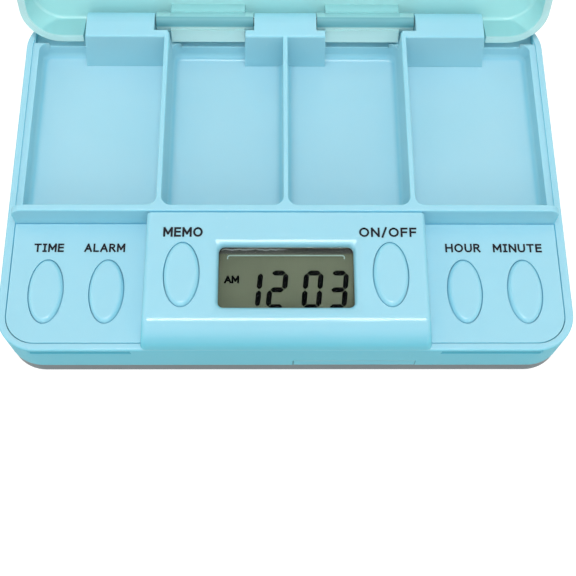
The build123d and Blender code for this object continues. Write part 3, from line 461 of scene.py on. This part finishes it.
fit(
    ceramic,
    "NodeGroupOutput",
    {
        "Color": mixed(ceramic, tin, body, TIN),
        "Roughness": ramp(ceramic, tin, 0.0, 1.0, CERAMIC_ROUGHNESS, TIN_ROUGHNESS),
        "Height": specks,
        "Metal": tin,
    },
)
chip_tan, tree, shader, skin = finish_with("tinned_ceramic", ceramic, bump=0.3, Start=ROW_START)
tree.links.new(skin.outputs["Metal"], shader.inputs["Metallic"])
dress(chip_tan, "capacitors")


# Screws, hinge pins, the quartz can and the coin cell are steel with a bright nickel plate.
# Turning and pressing leave fine lines in one direction, handling dulls the plate in patches, and the
# hinge pins are darkened by oil.
plated, given = start_group(
    "drawn_metal",
    ("Color", "Roughness", "Height"),
    Color=(0.6, 0.6, 0.6, 1.0),
    Roughness=0.3,
    Lines=0.5,
    Haze=0.2,
)
DRAWN_SCALE, HAZE_SCALE, HAZE_CUT, HAZE_SHADE = (200.0, 5000.0, 5000.0), 220.0, (0.45, 0.7), 0.4
METAL = {"Metallic": 1.0}
spot = place_on(plated)
drawn = fit(plated, "ShaderNodeMapping", {"Vector": spot, "Scale": DRAWN_SCALE})
lines = noise_at(plated, drawn.outputs[0], 1.0, 3.0)
haze = product(plated, ramp(plated, noise_at(plated, spot, HAZE_SCALE, 3.0), *HAZE_CUT), given["Haze"])
shade = calc(plated, "SUBTRACT", spread(plated, lines, 0.92, 1.06), product(plated, haze, HAZE_SHADE))
fit(
    plated,
    "NodeGroupOutput",
    {
        "Color": toned(plated, given["Color"], shade),
        "Roughness": calc(plated, "ADD", given["Roughness"], haze, clamp=True),
        "Height": product(plated, lines, given["Lines"]),
    },
)
NICKEL, OILED_STEEL = (0.66, 0.655, 0.64, 1.0), (0.2, 0.26, 0.27, 1.0)
bright_steel, *_ = finish_with(
    "bright_steel", plated, bump=0.15, own=METAL, Color=NICKEL, Roughness=0.24, Lines=0.6, Haze=0.15
)
dress(bright_steel, "case_screws", "board_screws", "quartz_crystal", "coin_cell")
pin_steel, *_ = finish_with(
    "oiled_pin_steel", plated, bump=0.15, own=METAL, Color=OILED_STEEL, Roughness=0.5, Lines=0.6, Haze=0.3
)
dress(pin_steel, "hinge_pin_left", "hinge_pin_right")


# The battery and buzzer contacts are bent from thin sprung bronze strip, plated pale.
# The buzzer is a disc of thin brass with a white ceramic face bonded to its upper side.
PALE_BRONZE, BRASS, CERAMIC_WHITE = (0.78, 0.72, 0.58, 1.0), (0.78, 0.6, 0.26, 1.0), (0.75, 0.73, 0.68, 1)
BUZZER_CENTRE, FACE_RADIUS = (-0.012, -0.0195, 0.004), 4.6 * MM
spring, *_ = finish_with(
    "sprung_strip", plated, bump=0.2, own=METAL, Color=PALE_BRONZE, Roughness=0.2, Lines=0.8, Haze=0.2
)
dress(spring, "battery_contact_left", "battery_contact_right", "buzzer_contacts")
brass, tree, shader, skin = finish_with(
    "buzzer_brass", plated, bump=0.2, Color=BRASS, Roughness=0.28, Lines=0.5, Haze=0.3
)
reach = fit(tree, "ShaderNodeVectorMath", {0: place_on(tree), 1: BUZZER_CENTRE}, operation="DISTANCE")
face = calc(tree, "LESS_THAN", reach.outputs["Value"], FACE_RADIUS)
tree.links.new(mixed(tree, face, skin.outputs["Color"], CERAMIC_WHITE), shader.inputs["Base Color"])
tree.links.new(less_of(tree, face), shader.inputs["Metallic"])
dress(brass, "buzzer_disc")


# The battery drawer slides into the front wall and carries the coin cell in a round well.
# It is moulded in the same sky-blue plastic as the tray, and its front face ends flush with the wall.
dress(sky_blue, "battery_drawer")


# The display is a sandwich: a silvered film, the grey-green glass and the dark bars of the digits.
# The film is matt and slightly uneven, and the glass shows it through as a soft olive ground.
FILM_SILVER, OLIVE = (0.45, 0.47, 0.42, 1.0), (0.108, 0.127, 0.087, 1.0)
CRYSTAL_BLACK = (0.003, 0.0035, 0.004, 1.0)
film, *_ = finish_with(
    "silvered_film", moulded, bump=0.3, Color=FILM_SILVER, Roughness=0.45, Clouds=0.05, Grain=0.8
)
dress(film, "display_reflector")
olive, *_ = finish_with(
    "display_olive",
    moulded,
    bump=0.02,
    own={"Specular IOR Level": 0.06},
    Color=OLIVE,
    Roughness=0.35,
    Clouds=0.07,
    Scuffs=0.0,
    Lint=0.0,
    Grain=0.0,
)
dress(olive, "display_glass")
crystal, *_ = finish_with(
    "liquid_crystal",
    moulded,
    bump=0.02,
    own={"Specular IOR Level": 0.0},
    Color=CRYSTAL_BLACK,
    Roughness=0.4,
    Scuffs=0.0,
    Lint=0.0,
)
dress(crystal, "display_digits")


# Beside the digits the display shows a small morning mark, in the same dark crystal as the bars.
# It is drawn in plain even strokes, each a hair thicker than the last, so that no two tops coincide.
RING = [
    (0.5 + 0.5 * math.sin(k * math.pi / 12), 0.5 + 0.5 * math.cos(k * math.pi / 12)) for k in range(25)
]
BOWL = [(0, 1), (0.5, 1), (0.78, 0.93), (0.88, 0.76), (0.78, 0.59), (0.5, 0.52), (0, 0.52)]
CUP = [(0, 1), (0, 0.34), (0.1, 0.11), (0.3, 0.01), (0.5, 0), (0.7, 0.01), (0.9, 0.11), (1, 0.34), (1, 1)]
LETTERS = {
    "A": (0.86, [[(0, 0), (0.5, 1)], [(0.5, 1), (1, 0)], [(0.2, 0.34), (0.8, 0.34)]]),
    "E": (0.6, [[(0, 0), (0, 1)], [(0, 1), (1, 1)], [(0, 0.53), (0.94, 0.53)], [(0, 0), (1, 0)]]),
    "F": (0.6, [[(0, 0), (0, 1)], [(0, 1), (1, 1)], [(0, 0.5), (0.9, 0.5)]]),
    "H": (0.78, [[(0, 0), (0, 1)], [(1, 0), (1, 1)], [(0, 0.53), (1, 0.53)]]),
    "I": (0.36, [[(0.5, 0), (0.5, 1)], [(0, 0), (1, 0)], [(0, 1), (1, 1)]]),
    "L": (0.55, [[(0, 0), (0, 1)], [(0, 0), (1, 0)]]),
    "M": (0.92, [[(0, 0), (0, 1)], [(0.03, 1), (0.5, 0.3)], [(0.5, 0.3), (0.97, 1)], [(1, 0), (1, 1)]]),
    "N": (0.78, [[(0, 0), (0, 1)], [(0.03, 1), (0.97, 0)], [(1, 0), (1, 1)]]),
    "O": (0.94, [RING]),
    "R": (0.7, [[(0, 0), (0, 1)], BOWL, [(0.42, 0.5), (1, 0)]]),
    "T": (0.76, [[(0.5, 0), (0.5, 1)], [(0, 1), (1, 1)]]),
    "U": (0.76, [CUP]),
    "/": (0.42, [[(0, -0.1), (1, 1.08)]]),
}
STROKE_RISE = 0.0004
GLASS_TOP, MARK_FILM = 12.40, 0.04


def add_strip(shape, path, half, low, high):
    """Adds a flat strip that follows a line of places, with square ends."""
    rows = []
    for i, at in enumerate(path):
        ahead = (path[min(i + 1, len(path) - 1)] - path[max(i - 1, 0)]).normalized()
        side = Vector((-ahead.y, ahead.x)) * half
        corners = ((at - side, low), (at + side, low), (at + side, high), (at - side, high))
        rows.append([shape.verts.new((corner.x * MM, corner.y * MM, z * MM)) for corner, z in corners])
    for one, two in zip(rows, rows[1:]):
        for k in range(4):
            shape.faces.new((one[k], one[(k + 1) % 4], two[(k + 1) % 4], two[k]))
    shape.faces.new(rows[0][::-1])
    shape.faces.new(rows[-1])


def mesh_of(shape, name):
    bmesh.ops.recalc_face_normals(shape, faces=shape.faces)
    mesh = bpy.data.meshes.new(name)
    shape.to_mesh(mesh)
    shape.free()
    return mesh


def word_mesh(name, word, left, right, near, far, level, thick, weight, spacing):
    """Plain block letters of even strokes, fitted between two places across and two along."""
    shape = bmesh.new()
    half = weight / 2
    tall = far - near - weight
    natural = sum(LETTERS[letter][0] for letter in word) + spacing * (len(word) - 1)
    unit = (right - left - weight) / natural
    start = left + half
    top = level + thick
    for letter in word:
        wide, strokes = LETTERS[letter]
        for stroke in strokes:
            path = [Vector((start + x * wide * unit, near + half + y * tall)) for x, y in stroke]
            path[0] = path[0] + (path[0] - path[1]).normalized() * half
            path[-1] = path[-1] + (path[-1] - path[-2]).normalized() * half
            top += STROKE_RISE
            add_strip(shape, path, half, level, top)
        start += (wide + spacing) * unit
    return mesh_of(shape, name)


def ride_case(name, mesh, material):
    item = bpy.data.objects.new(name, mesh)
    bpy.context.scene.collection.objects.link(item)
    mesh.materials.append(material)
    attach(item, "case")
    return item


mark = word_mesh(
    "morning_mark",
    "AM",
    left=-9.64,
    right=-7.29,
    near=-20.89,
    far=-19.60,
    level=GLASS_TOP,
    thick=MARK_FILM,
    weight=0.31,
    spacing=0.34,
)
ride_case("morning_mark", mark, crystal)


# A narrow dark strip runs on the glass behind the window's far edge, a painted shade for the shadow
# under that edge, with a pale wavy streak on its left half as a painted reflection. Before it runs a
# fine pale strip, its ends turned to the front, painted pale as a painted highlight.
BORDER_Y, BORDER_END, BORDER_HALF, BORDER_FILM = -15.4, 10.9, 0.45, 0.03
BORDER_BLACK, GLUE = (0.05, 0.055, 0.05, 1.0), (0.5, 0.56, 0.56, 1)
BEAD_NEAR, BEAD_FAR, BEAD_EDGE, BEAD_CORE = -15.32 * MM, -15.0 * MM, 0.14 * MM, 0.05 * MM
BEAD_ENDS, BEAD_FULL, BEAD_WAVES = 0.5 * MM, -1.5 * MM, (500.0, 0.0, 0.0)
shape = bmesh.new()
border_line = [Vector((-BORDER_END, BORDER_Y)), Vector((BORDER_END, BORDER_Y))]
add_strip(shape, border_line, BORDER_HALF, GLASS_TOP, GLASS_TOP + BORDER_FILM)
# Painted shade: this dark strip stands where the glass lies in shadow under the window's far edge.
dark_border, tree, shader, skin = finish_with(
    "dark_border", moulded, bump=0.3, Color=BORDER_BLACK, Roughness=0.3, Clouds=0.2, Scuffs=0.0, Lint=0.0
)
spot = place_on(tree)
across, along, _ = parts_of(tree, spot)
# Painted reflection: a pale wavy streak is painted on the left half of the dark strip.
waves = fit(tree, "ShaderNodeVectorMath", {0: spot, 1: BEAD_WAVES}, operation="MULTIPLY").outputs[0]
wave = spread(tree, noise_at(tree, waves, 1.0, 2.0), BEAD_NEAR, BEAD_FAR)
off_wave = calc(tree, "ABSOLUTE", calc(tree, "SUBTRACT", along, wave))
bead = product(tree, ramp(tree, off_wave, BEAD_EDGE, BEAD_CORE), ramp(tree, across, BEAD_ENDS, BEAD_FULL))
tree.links.new(mixed(tree, bead, skin.outputs["Color"], GLUE), shader.inputs["Base Color"])
ride_case("display_border", mesh_of(shape, "display_border"), dark_border)

LIP_Y, LIP_X, LIP_TURN, LIP_DROP = -16.18, 9.15, 0.35, 0.6
LIP_HALF, LIP_FILM, LIP_STEPS = 0.09, 0.08, 6
RIDGE_GREY = (0.27, 0.4, 0.38, 1.0)
bend = []
for i in range(LIP_STEPS + 1):
    turn = math.pi / 2 * i / LIP_STEPS
    bend.append((LIP_X - LIP_TURN + LIP_TURN * math.sin(turn), LIP_Y - LIP_TURN + LIP_TURN * math.cos(turn)))
bend.append((LIP_X, LIP_Y - LIP_DROP))
lip_line = [Vector((-x, y)) for x, y in bend[::-1]] + [Vector(place) for place in bend]
shape = bmesh.new()
add_strip(shape, lip_line, LIP_HALF, GLASS_TOP, GLASS_TOP + LIP_FILM)
# Painted highlight: the thin strip is coloured pale to stand in for a highlight line.
pale_ridge, *_ = finish_with(
    "pale_ridge", moulded, bump=0.3, Color=RIDGE_GREY, Roughness=0.3, Clouds=0.15, Scuffs=0.5, Lint=0.0
)
ride_case("display_lip", mesh_of(shape, "display_lip"), pale_ridge)


# The display holder and the switch plungers are plain natural-white mouldings inside the cover.
# The contact strips between board and glass are rubber, layered dark and pink along their length.
NATURAL_WHITE = (0.72, 0.72, 0.69, 1.0)
STRIP_PINK, STRIP_BLACK = (0.62, 0.3, 0.34, 1.0), (0.02, 0.02, 0.022, 1)
LAYER_PITCH, RUBBER_SHEEN, RUBBER_GRAIN = 0.0005, 1500.0, 2500.0
natural, *_ = finish_with(
    "natural_white", moulded, bump=0.3, Color=NATURAL_WHITE, Roughness=0.4, Clouds=0.03, Grain=0.5
)
dress(natural, "display_holder")
layered, given = start_group(
    "layered_rubber", ("Color", "Roughness", "Height"), Color=STRIP_PINK, Pitch=LAYER_PITCH
)
spot = place_on(layered)
turns = calc(layered, "DIVIDE", parts_of(layered, spot)[0], given["Pitch"])
layer = calc(layered, "GREATER_THAN", calc(layered, "PINGPONG", turns, 1.0), 0.5)
fit(
    layered,
    "NodeGroupOutput",
    {
        "Color": mixed(layered, layer, given["Color"], STRIP_BLACK),
        "Roughness": spread(layered, noise_at(layered, spot, RUBBER_SHEEN, 2.0), 0.65, 0.8),
        "Height": noise_at(layered, spot, RUBBER_GRAIN, 2.0),
    },
)
rubber, *_ = finish_with("layered_rubber", layered, bump=0.3, Pitch=LAYER_PITCH)
dress(rubber, "contact_strips")


# The window lens is a clear acrylic plate clamped behind the window, its raised middle in the opening.
# It is polished on both faces, with faint wipe marks, and a thin hard coat keeps reflections down.
CLEAR_TINT, COATED_IOR, WIPE_ROUGHNESS = (0.975, 0.985, 0.975, 1), 1.08, 0.012
WIPE_TURN, WIPE_SCALE, WIPE_CUT = (0, 0, 0.5), (40.0, 900.0, 1.0), (0.6, 0.75)
clear = bpy.data.materials.new("clear_acrylic")
clear.use_nodes = True
tree = clear.node_tree
shader = tree.nodes["Principled BSDF"]
wipes = fit(tree, "ShaderNodeMapping", {"Vector": place_on(tree), "Rotation": WIPE_TURN, "Scale": WIPE_SCALE})
swirl = ramp(tree, noise_at(tree, wipes.outputs[0], 1.0, 2.0), *WIPE_CUT, 0.0, WIPE_ROUGHNESS)
shader.inputs["Base Color"].default_value = CLEAR_TINT
shader.inputs["Transmission Weight"].default_value = 1.0
shader.inputs["IOR"].default_value = COATED_IOR
tree.links.new(swirl, shader.inputs["Roughness"])
dress(clear, "window_lens")


# The timer cover is one moulding, two low wings and the raised panel, in the tray's sky-blue plastic.
# It drops into the bay and is held by two screws from below. Its face rolls softly down to the window.
border_roll, given = start_group("window_roll", ("Height",), Width=1.6, Drop=0.38)
WINDOW_MIDDLE, WINDOW_HALF, CORNER_SOFTNESS = (0.0, -20.45 * MM, 0.0), (10.475, 5.125), 0.8
offset = fit(
    border_roll, "ShaderNodeVectorMath", {0: place_on(border_roll), 1: WINDOW_MIDDLE}, operation="SUBTRACT"
)
offset = fit(border_roll, "ShaderNodeVectorMath", {0: offset.outputs[0]}, operation="ABSOLUTE")
sides = parts_of(border_roll, offset.outputs[0])
outside = [
    calc(border_roll, "SUBTRACT", calc(border_roll, "DIVIDE", sides[axis], MM), WINDOW_HALF[axis])
    for axis in range(2)
]
away = calc(border_roll, "SMOOTH_MAX", outside[0], outside[1], CORNER_SOFTNESS)
share = calc(border_roll, "SUBTRACT", 1.0, calc(border_roll, "DIVIDE", away, given["Width"]), clamp=True)
dip = product(border_roll, calc(border_roll, "POWER", share, 2.0), given["Drop"])
fit(border_roll, "NodeGroupOutput", {"Height": product(border_roll, dip, -1.0)})
panel_blue = sky_blue.copy()
panel_blue.name = "sky_blue_panel"
tree = panel_blue.node_tree
shader = tree.nodes["Principled BSDF"]
roll = fit(tree, "ShaderNodeGroup", node_tree=border_roll)
fine = shader.inputs["Normal"].links[0].from_socket
relief = fit(tree, "ShaderNodeBump", {"Height": roll.outputs["Height"], "Distance": MM, "Normal": fine})
tree.links.new(relief.outputs[0], shader.inputs["Normal"])
tree.links.new(relief.outputs[0], shader.inputs["Coat Normal"])
dress(panel_blue, "timer_cover")


# The words beside the buttons say only what each button sets. They are pad printed in dark grey ink,
# which lies on the plastic as a film with a satin surface.
INK_BLACK, INK_FILM, INK_SPACING = (0.013, 0.012, 0.016, 1.0), 0.015, 0.42
WING_TOP, PANEL_TOP = 10.1, 14.6
ink, *_ = finish_with(
    "printed_ink",
    moulded,
    bump=0.2,
    own={"Specular IOR Level": 0.1},
    Color=INK_BLACK,
    Roughness=0.45,
    Clouds=0.2,
    Scuffs=0.0,
    Lint=0.1,
)
for word, left, right, near, far, level, weight in (
    ("TIME", -40.15, -35.4, -14.5, -13.02, WING_TOP, 0.29),
    ("ALARM", -32.15, -25.65, -14.5, -13.02, WING_TOP, 0.29),
    ("HOUR", 25.55, 31.2, -14.5, -13.0, WING_TOP, 0.29),
    ("MINUTE", 33.2, 41.05, -14.5, -13.02, WING_TOP, 0.29),
    ("MEMO", -19.15, -13.0, -13.9, -12.25, PANEL_TOP, 0.33),
    ("ON/OFF", 11.4, 20.4, -13.9, -12.3, PANEL_TOP, 0.31),
):
    name = word.replace("/", "_").lower() + "_word"
    letters = word_mesh(name, word, left, right, near, far, level, INK_FILM, weight, INK_SPACING)
    ride_case(name, letters, ink)


# Six oval push buttons stand a little proud of the cover. Each is a hollow cap in the same sky-blue
# plastic, crowned round its edge, with a white plunger under it that works a snap switch.
for name in ("time", "alarm", "memo", "on_off", "hour", "minute"):
    dress(sky_blue, name + "_button")
    dress(natural, name + "_plunger")


# The lid is one translucent blue-green moulding with its knuckles and latch tabs. It is polished and a
# little hazed by wear. Its rim and a band under the knuckles are painted paler, as painted light led
# through the plastic, and a painted dark band across the knuckles, with a painted darker patch at their
# roots, stands in for their shade and for the steel pins seen through them.
HINGE_LINE = (0.0, 28.35 * MM, 12.3 * MM)
LID_OPEN = math.radians(107.0)
RIM_LEVEL = 10.2 * MM
KNUCKLE_EDGE, KNUCKLE_SKIN, KNUCKLES_REACH = 1.8 * MM, 1.65 * MM, 24.0 * MM
BAND_EDGE, BAND_CORE = 0.95 * MM, 0.75 * MM
WEB_ENDS, WEB_REACH, WEB_FROM, WEB_FULL = (6.85 * MM, 19.85 * MM), 3.3 * MM, 0.6 * MM, 1.0 * MM
WEB_SHARE, KNUCKLE_DULLING = 0.35, 0.3
UP_THE_SLOPE, NOT_ACROSS = (0.0, 0.8, 0.6), (0.0, 1.0, 1.0)
pale_rim, given = start_group(
    "pale_rim",
    ("Color", "Roughness"),
    Color=(0.8, 0.8, 0.8, 1.0),
    Pale=(0.72, 1.0, 1.0, 1.0),
    Deep=(0.165, 0.53, 0.6, 1.0),
    Roughness=0.2,
    Depth=0.0004,
)
spot = place_on(pale_rim)
shut = fit(
    pale_rim,
    "ShaderNodeVectorRotate",
    {"Vector": spot, "Center": HINGE_LINE, "Angle": LID_OPEN},
    rotation_type="X_AXIS",
).outputs[0]
above = calc(pale_rim, "SUBTRACT", parts_of(pale_rim, shut)[2], RIM_LEVEL)
# Painted light: the lid is painted paler near its rim.
edge = ramp(pale_rim, above, given["Depth"], 0.0)
offset = fit(pale_rim, "ShaderNodeVectorMath", {0: spot, 1: HINGE_LINE}, operation="SUBTRACT").outputs[0]
offset = fit(pale_rim, "ShaderNodeVectorMath", {0: offset, 1: NOT_ACROSS}, operation="MULTIPLY").outputs[0]
from_hinge = fit(pale_rim, "ShaderNodeVectorMath", {0: offset}, operation="LENGTH").outputs["Value"]
rise = fit(
    pale_rim, "ShaderNodeVectorMath", {0: offset, 1: UP_THE_SLOPE}, operation="DOT_PRODUCT"
).outputs["Value"]
across = calc(pale_rim, "ABSOLUTE", parts_of(pale_rim, spot)[0])
between = calc(pale_rim, "LESS_THAN", across, KNUCKLES_REACH)
knuckle = product(pale_rim, ramp(pale_rim, from_hinge, KNUCKLE_EDGE, KNUCKLE_SKIN), between)
# Painted shade: a darker patch is painted where the knuckles join the lid.
root = product(
    pale_rim,
    calc(pale_rim, "LESS_THAN", from_hinge, WEB_REACH),
    between,
    ramp(pale_rim, rise, WEB_FROM, WEB_FULL),
)
# Painted light: a pale band is painted under the knuckles.
under = product(pale_rim, knuckle, ramp(pale_rim, rise, -BAND_CORE, -BAND_EDGE))
edge = calc(pale_rim, "MAXIMUM", product(pale_rim, edge, less_of(pale_rim, root)), under)
height = calc(pale_rim, "ABSOLUTE", rise)
# Painted shade: a dark band is painted across the knuckles.
band = product(pale_rim, knuckle, ramp(pale_rim, height, BAND_EDGE, BAND_CORE))
web = product(pale_rim, root, within(pale_rim, across, *WEB_ENDS), WEB_SHARE)
shaded = calc(pale_rim, "MAXIMUM", band, web)
edged = mixed(pale_rim, edge, given["Color"], given["Pale"])
fit(
    pale_rim,
    "NodeGroupOutput",
    {
        "Color": mixed(pale_rim, shaded, edged, given["Deep"]),
        "Roughness": calc(
            pale_rim, "ADD", given["Roughness"], product(pale_rim, knuckle, KNUCKLE_DULLING), clamp=True
        ),
    },
)
LID_TEAL = (0.48, 0.88, 0.89, 1.0)
teal, tree, shader, skin = finish_with(
    "teal_lid_plastic",
    moulded,
    bump=0.12,
    own={"Transmission Weight": 0.45, "IOR": 1.49},
    Color=LID_TEAL,
    Roughness=0.16,
    Clouds=0.03,
    Scuffs=0.3,
    Lint=0.1,
)
rim = fit(tree, "ShaderNodeGroup", node_tree=pale_rim)
for socket, target in (("Color", "Base Color"), ("Roughness", "Roughness")):
    tree.links.new(skin.outputs[socket], rim.inputs[socket])
    tree.links.new(rim.outputs[socket], shader.inputs[target])
dress(teal, "lid")
